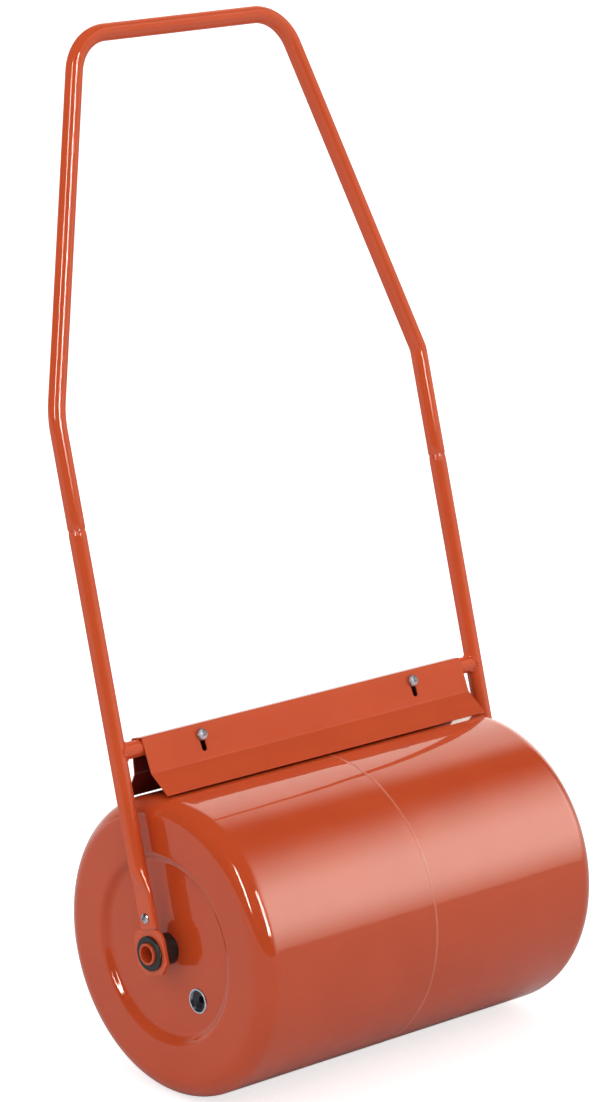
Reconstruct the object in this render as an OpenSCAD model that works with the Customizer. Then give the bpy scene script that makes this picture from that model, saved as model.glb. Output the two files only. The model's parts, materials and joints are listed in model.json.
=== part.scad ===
// Lawn roller: a water-filled steel drum between two tube legs, pushed or
// pulled by a plugged-on handle, with a sliding scraper over the drum.
// Millimetres. X runs along the drum's axle, +Y is the side the handle leans
// towards and +Z is up. The origin is the centre of the axle.

/* [Drum] */
// Outside diameter of the drum
drum_d = 320; // [300:1:320]
// Width of the drum over its end rims
drum_w = 476; // [440:1:484]
// Thickness of the drum's steel sheet
drum_wall = 2; // [1.5:0.1:3]
// Outer radius of the drum's rounded shoulders
shoulder_r = 21; // [14:1:30]
// Radius of the recessed disc in each end
recess_r = 94; // [88:1:100]
// Depth of the recessed disc
recess_depth = 7; // [5:0.5:10]

/* [Axle and bushes] */
// Outside diameter of the axle tube
axle_d = 23; // [22:0.5:24]
// Inside diameter of the axle tube
axle_bore_d = 18; // [16:0.5:19]
// Length of the axle tube
axle_len = 522; // [520:1:526]
// Diameter of the flange on each bush
bush_flange_d = 37; // [34:0.5:40]
// Diameter of the spacer collars
spacer_d = 33; // [32:0.5:36]

/* [Frame] */
// Outside diameter of the leg and handle tubes
tube_d = 18.5; // [18:0.5:20]
// Wall thickness of the leg and handle tubes
tube_wall = 1.5; // [1.2:0.1:2]
// Distance between the centre lines of the legs
leg_span = 509.5; // [508:0.5:516]
// Lean of the legs from upright
leg_lean = 15.2; // [5:0.1:25]
// Distance that the leg centre lines pass in front of the axle
leg_forward = 4; // [0:0.5:5]
// Width of the flattened foot of each leg
foot_w = 25; // [23:0.5:27]
// Outside diameter of the cross tube
cross_d = 18; // [16:0.5:18]
// Distance from the axle up the legs to the cross tube
cross_up = 209.5; // [209:0.5:216]

/* [Handle] */
// Distance from the axle up the legs to the handle joint
joint_up = 443; // [400:0.5:460]
// Distance from the axle up the legs to the knees
knee_up = 560.5; // [540:0.5:600]
// Distance from the axle up the legs to the hand bar
bar_up = 943.5; // [850:0.5:1000]
// Length of the hand bar between the corners of its centre line
bar_len = 281.5; // [240:0.5:340]
// Centre line radius of the left knee
knee_left_r = 110; // [60:5:140]
// Centre line radius of the right knee, which is bent much tighter
knee_right_r = 20; // [15:1:140]
// Centre line radius of the two upper corners
corner_r = 50; // [40:1:60]

/* [Scraper] */
// Length of the scraper along the drum
scraper_len = 453.5; // [430:0.5:460]
// Thickness of the scraper's sheet
scraper_wall = 1.5; // [1:0.1:2]
// Flare of the scraper's upper panels from the legs' direction
upper_flare = 8.5; // [5:0.5:9]
// Flare of the scraper's lower panels from the legs' direction
lower_flare = 39.5; // [35:0.5:40]
// Distance between the scraper's two bolts
bolt_span = 301.5; // [200:0.5:340]
// How far the scraper can slide on its bolts
scraper_travel = 14; // [4:1:15]

/* [Filler] */
// Distance from the axle to the centre of the filler plug
filler_r = 65; // [58:1:66]
// Angle of the filler plug below the front of the drum
filler_angle = 44; // [0:1:360]
// Outside diameter of the filler ring
filler_d = 26.5; // [26:0.5:30]

/* [Hidden] */
$fn = 96;

red = [0.75, 0.22, 0.10];
black = [0.05, 0.05, 0.06];
zinc = [0.75, 0.76, 0.78];

// Gaps: a running fit, a loose hole, and the seating gap between fixed pieces
run_gap = 0.05;
hole_gap = 0.1;
seat_gap = 0.02;
cut = 1;

drum_r = drum_d / 2;
half_w = drum_w / 2;
axle_r = axle_d / 2;
floor_x = half_w - recess_depth;
tube_r = tube_d / 2;
tube_bore_r = tube_r - tube_wall;
cross_r = cross_d / 2;
leg_x = leg_span / 2;

// Drum sheet: radius of the two bends at the edge of the recess, outer face
recess_bend_r = 8;
tan_half = tan(22.5);

// Foot of the leg: flattened tube, with the side plate's tab between its walls
plate_t = 3.5;
foot_wall = 1.8;
foot_t = plate_t + 2 * foot_wall;
foot_inset = 1.2;
foot_x = leg_x - foot_inset;
foot_up = 25.3;
flat_up = 60;
round_up = 92;
slice = 0.1;

// Side plate, from the axle
plate_half = 24;
plate_low = 23;
plate_clip = 11.5;
plate_round = 14;
tab_w = foot_w - foot_t - 2 * hole_gap;
tab_up = 56;

// Bush and spacer
flange_t = 3.2;
flange_round = 1;
sleeve_d = 28;
sleeve_len = 3.2;
side_play = 3 * run_gap;
weld_relief = 1;

// Handle joint: the leg's upper end is crimped down to plug into the handle
crimp_up = joint_up - 6;
crimp_small_r = tube_r - 0.75;
crimps = 8;
crimp_r = 2.2;
crimp_out = 0.9;
spigot_r = tube_bore_r - run_gap;
spigot_up = joint_up + 45;

// The handle's bends are thinned by a hair, and its straight runs overlap them
bend_thinning = 0.1;
bend_overlap = 0.6;

// Scraper section: distances from the cross tube's centre, and across the panel
panel_in = cross_r + 0.2;
skirt_up = 27.1;
skirt_low = 51.3;
fold_r = 2.2;
skirt_bend_r = 4;
rear_trim = 2;
slot_w = 6.8;
slot_end_gap = 0.5;

// Scraper bolts and washers. The washers are upright and the panel is flared,
// so each washer stands off until its lower edge just clears the panel.
bolt_d = 6;
bolt_drop = 1;
bolt_af = 10;
bolt_head_t = 4;
bolt_dome_r = 8;
bolt_collar_len = 5;
bolt_collar_wall = 1.5;
washer_d = 12;
washer_t = 1.4;
washer_gap = 0.2;
washer_reach = washer_d / 2 + bolt_drop;
washer_flare = panel_in + scraper_wall + washer_reach * sin(upper_flare);
washer_out = washer_flare / cos(upper_flare) + hole_gap;

// Seam and weld sizes
seam_half = 0.6;
axle_weld = 3;
weld_crown = 0.65;
weld_dabs = 20;
weld_dab_r = 2.3;

// Filler: the neck's ring, the seat for the head, and the plug
neck_lip = 0.6;
neck_r = filler_d / 2 - neck_lip;
neck_depth = 18;
neck_proud = 1.5;
neck_round = 0.7;
seat_depth = 6;
plug_head_r = 11.25;
plug_head_t = 2.5;
plug_body_r = 8.9;
plug_len = 14;
plug_face = -2;
seal_t = 1.4;
seal_gap = 0.25;
cup_r = 15;
cup_depth = 3;
socket_af = 8;
socket_depth = 7;

// Pan-head screws and the nuts on the plate screws
screw_up = 37;
screw_d = 5;
pan_head_d = 10.8;
pan_head_t = 3.2;
pan_dome_r = 7.4;
cross_slot_len = 6;
cross_slot_w = 1.1;
cross_slot_depth = 1.8;
nut_af = 8;
nut_t = 4;
past_nut = 1;
plate_screw_turn = 20;

// Places a child in the legs' frame: Z runs up the legs, and -Y is the front
module legs_frame(up = 0, ahead = leg_forward) {
    rotate([-leg_lean, 0, 0]) translate([0, -ahead, up]) children();
}

// A child as drawn for the right side, mirrored to the side wanted
module on_side(side) {
    if (side < 0) mirror([1, 0, 0]) children();
    else children();
}

// Turns a cylinder so that it runs along X
module along_x() {
    rotate([0, 90, 0]) children();
}

// ---- Drum ----

// Sliver between a corner v, its two tangent points and the arc that rounds it
module corner_sliver(v, t1, t2, centre, r) {
    difference() {
        polygon([v, t1, t2]);
        translate(centre) circle(r);
    }
}

// Pocket of the recessed end disc, as radius against X, for the face of the
// sheet that lies `inset` behind the outer one. Its wall slopes at 45 degrees.
module recess_section(inset) {
    base = recess_r + inset * tan_half;
    rim = base + recess_depth;
    floor_at = floor_x - inset;
    rim_at = half_w - inset;
    rim_bend = recess_bend_r - inset;
    floor_bend = recess_bend_r + inset;
    rim_tan = rim_bend * tan_half;
    floor_tan = floor_bend * tan_half;
    slope = [1, 1] / sqrt(2);
    rim_v = [rim, rim_at];
    floor_v = [base, floor_at];
    difference() {
        union() {
            polygon([[0, floor_at], floor_v, rim_v, [rim, half_w + cut], [0, half_w + cut]]);
            corner_sliver(rim_v, rim_v + [rim_tan, 0], rim_v - rim_tan * slope,
                          rim_v + [rim_tan, -rim_bend], rim_bend);
        }
        corner_sliver(floor_v, floor_v - [floor_tan, 0], floor_v + floor_tan * slope,
                      floor_v + [-floor_tan, floor_bend], floor_bend);
    }
}

// Half of the drum's outline, as radius against X, `inset` inside the outside
module drum_section(inset) {
    bend = shoulder_r - inset;
    difference() {
        union() {
            square([drum_r - shoulder_r, half_w - inset]);
            square([drum_r - inset, half_w - shoulder_r]);
            translate([drum_r - shoulder_r, half_w - shoulder_r]) circle(bend);
        }
        recess_section(inset);
    }
}

module shell_section() {
    difference() {
        drum_section(0);
        drum_section(drum_wall);
        square([axle_r + hole_gap, half_w + cut]);
        square([drum_r + cut, seam_half]);
    }
}

// One pressed half of the drum; only the left one has the filler hole
module drum_shell(side) {
    color(red) difference() {
        on_side(side) along_x() rotate_extrude() shell_section();
        if (side < 0) at_filler() cylinder(h = 3 * drum_wall, r = neck_r + seat_gap, center = true);
    }
}

module drum_shell_left() {
    drum_shell(-1);
}

module drum_shell_right() {
    drum_shell(1);
}

// Thin crowned weld bead between the two halves
module drum_seam_weld() {
    bead = seam_half - seat_gap;
    color(red) along_x() rotate_extrude() {
        translate([drum_r - drum_wall, -bead]) square([drum_wall, 2 * bead]);
        translate([drum_r, 0]) circle(bead);
    }
}

module axle_tube() {
    color(red) along_x() linear_extrude(axle_len, center = true) difference() {
        circle(axle_r);
        circle(axle_bore_d / 2);
    }
}

// Fillet welds between the axle tube and both end discs
module axle_welds() {
    root = [axle_r + seat_gap, floor_x + seat_gap];
    color(red) for (side = [-1, 1])
        on_side(side) along_x() rotate_extrude()
            polygon([root, root + [axle_weld, 0], root + axle_weld * weld_crown * [1, 1],
                     root + [0, axle_weld]]);
}

// ---- Filler ----

// Places a child at the filler, on the outside of the left end disc, with its
// Z pointing out of the drum
module at_filler() {
    translate([-floor_x, -filler_r * cos(filler_angle), -filler_r * sin(filler_angle)])
        rotate([0, -90, 0]) children();
}

// Ring with a seat for the plug's head and a bore for its threaded body
module filler_neck() {
    color(zinc) at_filler() rotate_extrude() difference() {
        union() {
            translate([0, -neck_depth]) square([neck_r, neck_depth + cut]);
            translate([0, seat_gap]) square([filler_d / 2, neck_proud - neck_round]);
            translate([0, seat_gap]) square([filler_d / 2 - neck_round, neck_proud]);
            translate([filler_d / 2 - neck_round, neck_proud - neck_round + seat_gap]) circle(neck_round);
        }
        translate([0, -neck_depth - cut]) square([plug_body_r + run_gap, 3 * neck_depth]);
        translate([0, -seat_depth]) square([plug_head_r + seal_gap, 3 * seat_depth]);
    }
}

// Plug with a hollow face and a hex socket at the bottom of the hollow
module filler_plug() {
    color(black) at_filler() translate([0, 0, plug_face]) difference() {
        union() {
            translate([0, 0, -plug_head_t]) cylinder(h = plug_head_t, r = plug_head_r);
            translate([0, 0, -plug_len]) cylinder(h = plug_len - cut, r = plug_body_r);
        }
        translate([0, 0, cup_r - cup_depth]) sphere(cup_r);
        cylinder(h = 2 * socket_depth, d = socket_af / cos(30), $fn = 6, center = true);
    }
}

module plug_seal() {
    color(black) at_filler() translate([0, 0, -seat_depth + seat_gap])
        linear_extrude(seal_t) difference() {
            circle(plug_head_r - seal_gap);
            circle(plug_body_r + seal_gap);
        }
}

// ---- Bushes, spacers and side plates ----

// Flanged bush in the side plate; the axle tube turns in it
module bush(side) {
    r_in = axle_r + run_gap;
    r_out = bush_flange_d / 2;
    face = foot_x + plate_t / 2 + seat_gap;
    color(black) on_side(side) along_x() rotate_extrude() {
        translate([r_in, face - sleeve_len]) square([sleeve_d / 2 - r_in, sleeve_len + cut]);
        translate([r_in, face]) square([r_out - r_in, flange_t - flange_round]);
        translate([r_in + flange_round, face]) square([r_out - r_in - 2 * flange_round, flange_t]);
        translate([r_in + flange_round, face + flange_t - flange_round]) circle(flange_round);
        translate([r_out - flange_round, face + flange_t - flange_round]) circle(flange_round);
    }
}

module bush_left() {
    bush(-1);
}

module bush_right() {
    bush(1);
}

// Collar that keeps the drum centred between the side plates. Its drum end is
// relieved to clear the axle's weld.
module spacer(side) {
    near = floor_x + side_play;
    far = foot_x - plate_t / 2 - side_play;
    relief = axle_weld + weld_relief;
    color(black) on_side(side) along_x() rotate_extrude() difference() {
        translate([axle_r + run_gap, near]) square([spacer_d / 2 - axle_r - run_gap, far - near]);
        translate([0, near - cut]) square([axle_r + relief, relief + cut]);
    }
}

module spacer_left() {
    spacer(-1);
}

module spacer_right() {
    spacer(1);
}

// Clipped lower corners, rounded shoulders and a tab that enters the foot
module side_plate_outline() {
    low_side = plate_half - plate_clip;
    shoulder = plate_half - plate_round;
    arc_up = foot_up - seat_gap - plate_round;
    polygon([[-low_side, -plate_low], [low_side, -plate_low],
             [plate_half, plate_clip - plate_low], [plate_half, arc_up],
             [-plate_half, arc_up], [-plate_half, plate_clip - plate_low]]);
    for (s = [-1, 1]) translate([s * shoulder, arc_up]) circle(plate_round);
    translate([-shoulder, arc_up - cut]) square([2 * shoulder, plate_round + cut]);
    translate([-leg_forward - tab_w / 2, 0]) square([tab_w, tab_up]);
}

module side_plate(side) {
    color(red) on_side(side) legs_frame(ahead = 0) translate([foot_x - plate_t / 2, 0, 0])
        rotate([90, 0, 90]) linear_extrude(plate_t) difference() {
            side_plate_outline();
            circle(sleeve_d / 2 + seat_gap);
            translate([-leg_forward, screw_up]) circle(screw_d / 2 + hole_gap);
        }
}

module side_plate_left() {
    side_plate(-1);
}

module side_plate_right() {
    side_plate(1);
}

// ---- Pan-head screws ----

// Domed head with a cross recess; Z points out of the head, from its seat
module pan_head_screw(length) {
    difference() {
        union() {
            intersection() {
                cylinder(h = pan_head_t, d = pan_head_d);
                translate([0, 0, pan_head_t - pan_dome_r]) sphere(pan_dome_r);
            }
            translate([0, 0, -length]) cylinder(h = length + cut, d = screw_d);
        }
        for (a = [0, 90])
            rotate(a) translate([0, 0, pan_head_t])
                cube([cross_slot_len, cross_slot_w, 2 * cross_slot_depth], center = true);
    }
}

// Screws through both feet, and the nuts on their inner ends
module plate_screws() {
    color(zinc) for (side = [-1, 1])
        on_side(side) legs_frame(screw_up) translate([foot_x + foot_t / 2 + seat_gap, 0, 0])
            along_x() rotate(plate_screw_turn) pan_head_screw(foot_t + nut_t + past_nut);
}

module plate_nuts() {
    color(zinc) for (side = [-1, 1])
        on_side(side) legs_frame(screw_up)
            translate([foot_x - foot_t / 2 - nut_t - seat_gap, 0, 0]) along_x() difference() {
                cylinder(h = nut_t, d = nut_af / cos(30), $fn = 6);
                translate([0, 0, -cut]) cylinder(h = nut_t + 2 * cut, d = screw_d + 2 * run_gap);
            }
}

// ---- Legs and cross tube ----

// Flattened tube outline, w wide and t thick
module flat_outline(w, t) {
    square([t, w - t], center = true);
    for (s = [-1, 1]) translate([0, s * (w - t) / 2]) circle(d = t);
}

// The leg's solid for one radius: flattened foot, smooth change and round tube
module leg_form(w, t, r, low, high) {
    inward = foot_x - leg_x;
    translate([inward, 0, low]) linear_extrude(flat_up - low) flat_outline(w, t);
    hull() {
        translate([inward, 0, flat_up - slice]) linear_extrude(slice) flat_outline(w, t, $fn = 32);
        translate([0, 0, round_up]) cylinder(h = slice, r = r, $fn = 48);
    }
    translate([0, 0, round_up]) cylinder(h = high - round_up, r = r);
}

module leg(side) {
    color(red) on_side(side) legs_frame() translate([leg_x, 0, 0]) difference() {
        union() {
            leg_form(foot_w, foot_t, tube_r, foot_up, crimp_up);
            translate([0, 0, crimp_up])
                cylinder(h = joint_up - crimp_up - seat_gap, r1 = tube_r, r2 = crimp_small_r);
            translate([0, 0, crimp_up]) cylinder(h = spigot_up - crimp_up, r = spigot_r);
        }
        leg_form(foot_w - 2 * foot_wall, plate_t + 2 * seat_gap, tube_bore_r, foot_up - cut,
                 crimp_up - 2 * cut);
        translate([0, 0, crimp_up - 3 * cut]) cylinder(h = spigot_up, r = spigot_r - tube_wall);
        translate([foot_x - leg_x, 0, screw_up]) along_x()
            cylinder(h = 2 * foot_t, d = screw_d + 2 * hole_gap, center = true);
        // Crimp dents round the neck
        for (i = [0:crimps - 1])
            rotate(360 / crimps * (i + 0.5)) translate([tube_r + crimp_out, 0, crimp_up + crimp_r])
                sphere(crimp_r, $fn = 32);
    }
}

module leg_left() {
    leg(-1);
}

module leg_right() {
    leg(1);
}

module leg_cylinders(gap) {
    for (s = [-1, 1]) translate([s * leg_x, 0, 0])
        cylinder(h = 6 * cross_r, r = tube_r + gap, center = true);
}

// Coped tube between the legs. Its two bolt holes are drawn inwards and
// threaded, so each has a short collar inside the tube.
module cross_tube() {
    color(red) legs_frame(cross_up) difference() {
        union() {
            along_x() linear_extrude(leg_span, center = true) difference() {
                circle(cross_r);
                circle(cross_r - tube_wall);
            }
            at_bolts() translate([0, 0, cross_r - bolt_collar_len - tube_wall / 2])
                cylinder(h = bolt_collar_len, d = bolt_d + 2 * bolt_collar_wall);
        }
        leg_cylinders(seat_gap);
        at_bolts() translate([0, 0, cut]) cylinder(h = cross_r, d = bolt_d + 2 * run_gap);
    }
}

// Row of weld dabs along the line where the cross tube meets each leg
module cross_tube_welds() {
    color(red) legs_frame(cross_up) difference() {
        for (s = [-1, 1], i = [0:weld_dabs - 1]) {
            a = 360 / weld_dabs * i;
            y = cross_r * sin(a);
            translate([s * (leg_x - sqrt(tube_r * tube_r - y * y)), y, cross_r * cos(a)])
                sphere(weld_dab_r, $fn = 32);
        }
        leg_cylinders(seat_gap);
        along_x() cylinder(h = leg_span, r = cross_r + seat_gap, center = true);
    }
}

// ---- Handle ----

// Turn of the tube at each knee, and the tangent length of a bend
function knee_turn() = atan2(leg_x - bar_len / 2, bar_up - knee_up);
function tangent(r, turn) = r * tan(turn / 2);

// Straight rod of radius r along Z, from `low` to `high`
module rod_run(r, low, high) {
    translate([0, 0, low]) cylinder(h = high - low, r = r);
}

// Bent rod of centre line radius bend_r, which starts along Z at the origin
// and turns towards -X. Drawing the bend thins it by a hair, so the straight
// runs, which overlap it a little, end on it in a clean step.
module rod_bend(r, bend_r, turn) {
    translate([-bend_r, 0, 0]) rotate([90, 0, 0]) rotate_extrude(angle = turn, $fn = 144)
        translate([bend_r, 0]) circle(r - bend_thinning);
}

// Moves a child to the end of a bend
module after_bend(bend_r, turn) {
    translate([-bend_r, 0, 0]) rotate([0, -turn, 0]) translate([bend_r, 0, 0]) children();
}

// One side of the handle as a solid rod, which starts `early` below the joint:
// lower run, knee, upper run and corner
module handle_side(r, early, knee_r) {
    turn = knee_turn();
    knee_tan = tangent(knee_r, turn);
    knee_start = knee_up - knee_tan;
    straight = (bar_up - knee_up) / cos(turn) - knee_tan - tangent(corner_r, 90 - turn);
    translate([leg_x, 0, 0]) {
        rod_run(r, joint_up - early, knee_start + bend_overlap);
        translate([0, 0, knee_start]) {
            rod_bend(r, knee_r, turn);
            after_bend(knee_r, turn) {
                rod_run(r, -bend_overlap, straight + bend_overlap);
                translate([0, 0, straight]) rod_bend(r, corner_r, 90 - turn);
            }
        }
    }
}

// The whole bent handle as a solid rod of radius r
module handle_rod(r, early) {
    half_bar = bar_len / 2 - tangent(corner_r, 90 - knee_turn()) + bend_overlap;
    on_side(-1) handle_side(r, early, knee_left_r);
    on_side(1) handle_side(r, early, knee_right_r);
    translate([0, 0, bar_up]) along_x() rod_run(r, -half_bar, half_bar);
}

module handle_tube() {
    color(red) legs_frame() difference() {
        handle_rod(tube_r, 0);
        handle_rod(tube_bore_r, cut);
    }
}

// ---- Scraper ----

function arc(centre, r, from, to, steps = 6) =
    [for (i = [0:steps]) centre + r * [cos(from + (to - from) * i / steps),
                                       sin(from + (to - from) * i / steps)]];
function reverse(v) = [for (i = [len(v) - 1:-1:0]) v[i]];
function mirrored(v) = [for (p = v) [-p[0], p[1]]];

// One side of the folded sheet, from the crown down to the blade, as distance
// from the cross tube's centre outwards and up. The face at `depth` is the
// inner one at 0 and the outer one at the sheet's thickness, and `trim` is cut
// off the blade.
function skirt(depth, trim = 0) =
    let (c = panel_in - fold_r,
         fold = [c * (1 - sin(upper_flare)) / cos(upper_flare), c],
         outer = panel_in + scraper_wall,
         knee = [(outer + skirt_up * sin(upper_flare)) / cos(upper_flare), -skirt_up],
         half_turn = (lower_flare - upper_flare) / 2,
         mid = (lower_flare + upper_flare) / 2,
         bend = knee + skirt_bend_r / cos(half_turn) * [cos(mid), sin(mid)],
         blade = (skirt_low - skirt_up) / cos(lower_flare) - trim,
         tip = knee + blade * [sin(lower_flare), -cos(lower_flare)],
         behind = scraper_wall - depth)
    concat(arc(fold, fold_r + depth, 90, upper_flare),
           arc(bend, skirt_bend_r + behind, 180 + upper_flare, 180 + lower_flare),
           [tip - behind * [cos(lower_flare), sin(lower_flare)]]);

// Whole section, front at -X. The legs pass in front of the axle, so the rear
// blade would come nearer to the drum than the front one, and is cut shorter.
module scraper_section() {
    front = [for (depth = [0, scraper_wall]) mirrored(skirt(depth))];
    rear = [for (depth = [0, scraper_wall]) skirt(depth, rear_trim)];
    polygon(concat(reverse(front[1]), rear[1], reverse(rear[0]), front[0]));
}

// Height of the bolt along the front panel, from the cross tube's centre
function bolt_on_panel() =
    let (middle = panel_in + scraper_wall / 2,
         out = (middle + bolt_drop * sin(upper_flare)) / cos(upper_flare))
    -out * sin(upper_flare) - bolt_drop * cos(upper_flare);

module scraper() {
    top = bolt_on_panel() + slot_end_gap;
    run = scraper_travel + 2 * slot_end_gap;
    color(red) legs_frame(cross_up) difference() {
        rotate([90, 0, 90]) linear_extrude(scraper_len, center = true) scraper_section();
        for (s = [-1, 1]) rotate([-upper_flare, 0, 0])
            translate([s * bolt_span / 2, -panel_in - scraper_wall / 2, top]) rotate([90, 0, 0])
                linear_extrude(3 * scraper_wall, center = true) {
                    circle(d = slot_w);
                    translate([0, -run]) circle(d = slot_w);
                    translate([-slot_w / 2, -run]) square([slot_w, run]);
                }
    }
}

// Places a child at each scraper bolt, with its Z pointing out of the front
module at_bolts() {
    for (s = [-1, 1]) translate([s * bolt_span / 2, 0, -bolt_drop]) rotate([90, 0, 0]) children();
}

module scraper_washers() {
    color(zinc) legs_frame(cross_up) at_bolts() translate([0, 0, washer_out])
        linear_extrude(washer_t) difference() {
            circle(d = washer_d);
            circle(d = bolt_d + 2 * washer_gap);
        }
}

// Hex heads with domed faces on plain shanks
module scraper_bolts() {
    color(zinc) legs_frame(cross_up) at_bolts() {
        translate([0, 0, washer_out + washer_t + seat_gap]) intersection() {
            cylinder(h = bolt_head_t, d = bolt_af / cos(30), $fn = 6);
            translate([0, 0, bolt_head_t - bolt_dome_r]) sphere(bolt_dome_r);
        }
        translate([0, 0, 2 * cut]) cylinder(h = washer_out + washer_t, d = bolt_d);
    }
}

drum_shell_left();
drum_shell_right();
drum_seam_weld();
axle_tube();
axle_welds();
filler_neck();
filler_plug();
plug_seal();
bush_left();
bush_right();
spacer_left();
spacer_right();
side_plate_left();
side_plate_right();
plate_screws();
plate_nuts();
leg_left();
leg_right();
cross_tube();
cross_tube_welds();
handle_tube();
scraper();
scraper_bolts();
scraper_washers();
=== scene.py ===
"""Looks for the lawn roller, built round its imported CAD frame. Metres, +Z up, origin at the axle's centre."""
import json
import math

import bmesh
import bpy
from mathutils import Matrix, Vector, noise


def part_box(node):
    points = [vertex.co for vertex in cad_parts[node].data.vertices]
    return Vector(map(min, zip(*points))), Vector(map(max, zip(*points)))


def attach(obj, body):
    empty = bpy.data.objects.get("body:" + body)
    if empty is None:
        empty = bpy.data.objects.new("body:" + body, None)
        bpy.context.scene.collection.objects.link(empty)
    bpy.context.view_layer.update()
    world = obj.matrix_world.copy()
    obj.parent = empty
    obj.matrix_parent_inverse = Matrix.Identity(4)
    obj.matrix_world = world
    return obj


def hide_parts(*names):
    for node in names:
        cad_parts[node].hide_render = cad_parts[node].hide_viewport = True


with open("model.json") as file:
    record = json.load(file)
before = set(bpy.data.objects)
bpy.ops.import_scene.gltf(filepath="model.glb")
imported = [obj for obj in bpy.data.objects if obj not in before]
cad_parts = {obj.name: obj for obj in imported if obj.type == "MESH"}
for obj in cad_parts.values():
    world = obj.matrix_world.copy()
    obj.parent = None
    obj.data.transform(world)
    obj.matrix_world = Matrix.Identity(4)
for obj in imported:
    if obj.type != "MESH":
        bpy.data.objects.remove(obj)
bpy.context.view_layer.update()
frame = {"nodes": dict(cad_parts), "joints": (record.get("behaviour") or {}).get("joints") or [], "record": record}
nodes = frame["nodes"]
record = frame["record"]
MM = 0.001
TAU = 2 * math.pi


# ---- Sizes read from the frame ----

def joint_axis(name):
    """The axis of a joint, as a vector."""
    return Vector(next(j["axis"] for j in frame["joints"] if j["name"] == name))


shell_low, shell_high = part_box("drum_shell_right")
seam_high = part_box("drum_seam_weld")[1]
axle_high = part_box("axle_tube")[1]
leg_low, leg_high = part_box("leg_right")
scraper_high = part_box("scraper")[1]

DRUM_R = shell_high.z
DRUM_HALF = shell_high.x
SEAM_GAP = shell_low.x
FLOOR_Z = -seam_high.z
AXLE_R = axle_high.z
AXLE_HALF = axle_high.x
TUBE_R = (leg_high.x - leg_low.x) / 2
LEG_X = leg_high.x - TUBE_R
SCRAPER_HALF = scraper_high.x
SLIDE = joint_axis("scraper_slide")

# ---- Driving dimensions of the design, in metres and radians ----

# How far the scraper's panels flare from the legs' direction, and how the legs stand
UPPER_FLARE = math.radians(8.5)
LOWER_FLARE = math.radians(39.5)
LEG_LEAN = math.atan2(SLIDE.y, SLIDE.z) - UPPER_FLARE
LEG_AHEAD = 4 * MM
TUBE_WALL = 1.5 * MM

# Drum
DRUM_WALL = 2 * MM
SHOULDER_R = 21 * MM
RECESS_R = 94 * MM
RECESS_DEPTH = 7 * MM
RECESS_BEND_R = 8 * MM
AXLE_BORE_R = 9 * MM
AXLE_GAP = 0.1 * MM

# Legs, with heights up the leg from the axle
FOOT_INSET = 1.2 * MM
FOOT_T = 7.1 * MM
FOOT_WALL = 1.8 * MM
FOOT_UP = 25.3 * MM
FOOT_ROUND = 0.4 * MM
FOOT_CORNER = ((0, 0.35 * MM), (0.12 * MM, 0.12 * MM))
FLAT_UP = 60 * MM
ROUND_UP = 92 * MM
CRIMP_UP = 437 * MM
CRIMP_LEAD = 2 * MM
JOINT_UP = 443 * MM
SPIGOT_UP = 488 * MM
CRIMPS = 8
CRIMP_R = 2.2 * MM
CRIMP_OUT = 0.9 * MM
CRIMP_TAPER = 0.75 * MM
SPIGOT_R = TUBE_R - TUBE_WALL - 0.05 * MM

# Handle: its left knee, side -1, is bent much wider than its right one
KNEE_UP = 560.5 * MM
BAR_UP = 943.5 * MM
BAR_LEN = 281.5 * MM
KNEE_RADII = {-1: 110 * MM, 1: 20 * MM}
CORNER_R = 50 * MM

# Cross tube and scraper
CROSS_UP = 209.5 * MM
CROSS_R = 9 * MM
PANEL_IN = CROSS_R + 0.2 * MM
SHEET = 1.5 * MM
SKIRT_UP = 27.1 * MM
SKIRT_LOW = 51.3 * MM
FOLD_R = 2.2 * MM
SKIRT_BEND_R = 4 * MM
REAR_TRIM = 2 * MM
BOLT_X = 150.75 * MM
BOLT_DROP = 1 * MM
SLOT_W = 6.8 * MM
SLOT_RUN = 15 * MM
SLOT_END_GAP = 0.5 * MM

# Filler: its ring, neck and plug, with depths from the end disc
FILLER_RADIUS = 65 * MM
FILLER_ANGLE = math.radians(44)
RING_R = 13.25 * MM
RING_PROUD = 1.52 * MM
NECK_R = 12.65 * MM
NECK_DEPTH = 18 * MM
SEAT_R = 11.5 * MM
SEAT_DEPTH = 6 * MM
THREAD_R = 8.95 * MM
CAP_R = 11.25 * MM
CAP_BODY_R = 8.9 * MM
CAP_FACE = -2 * MM
CAP_HEAD = 2.5 * MM
CAP_LEN = 14 * MM
CUP_R = 15 * MM
CUP_DEPTH = 3 * MM
SOCKET_R = 4.6 * MM
SOCKET_DEPTH = 7 * MM


def legs_frame(up=0.0):
    """The frame whose Z runs up the legs, and whose -Y is the front."""
    return Matrix.Rotation(-LEG_LEAN, 4, "X") @ Matrix.Translation((0, -LEG_AHEAD, up))


def filler_frame():
    """The frame at the filler, with its Z pointing out of the left end disc."""
    place = Vector((-(DRUM_HALF - RECESS_DEPTH), -FILLER_RADIUS * math.cos(FILLER_ANGLE),
                    -FILLER_RADIUS * math.sin(FILLER_ANGLE)))
    return Matrix.Translation(place) @ Matrix.Rotation(-math.pi / 2, 4, "Y")


# ---- Mesh helpers ----

# Edges over this many degrees stay crisp: in general, and on turned and bent pieces
SHARP = 35
SHARP_TURNED = 50


def evenly(start, end, steps):
    """Numbers from start to end in equal steps, with both ends."""
    return [start + (end - start) * i / steps for i in range(steps + 1)]


def arc(cx, cy, radius, start, end, steps):
    """Points along an arc, with angles in radians."""
    turns = evenly(start, end, steps)
    return [(cx + radius * math.cos(a), cy + radius * math.sin(a)) for a in turns]


def line(start, end, steps):
    """Points along a line, without its last one."""
    return list(zip(evenly(start[0], end[0], steps), evenly(start[1], end[1], steps)))[:-1]


def smooth_step(x):
    """0 below 0, 1 above 1 and a smooth change between them."""
    x = min(max(x, 0.0), 1.0)
    return x * x * (3 - 2 * x)


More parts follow.
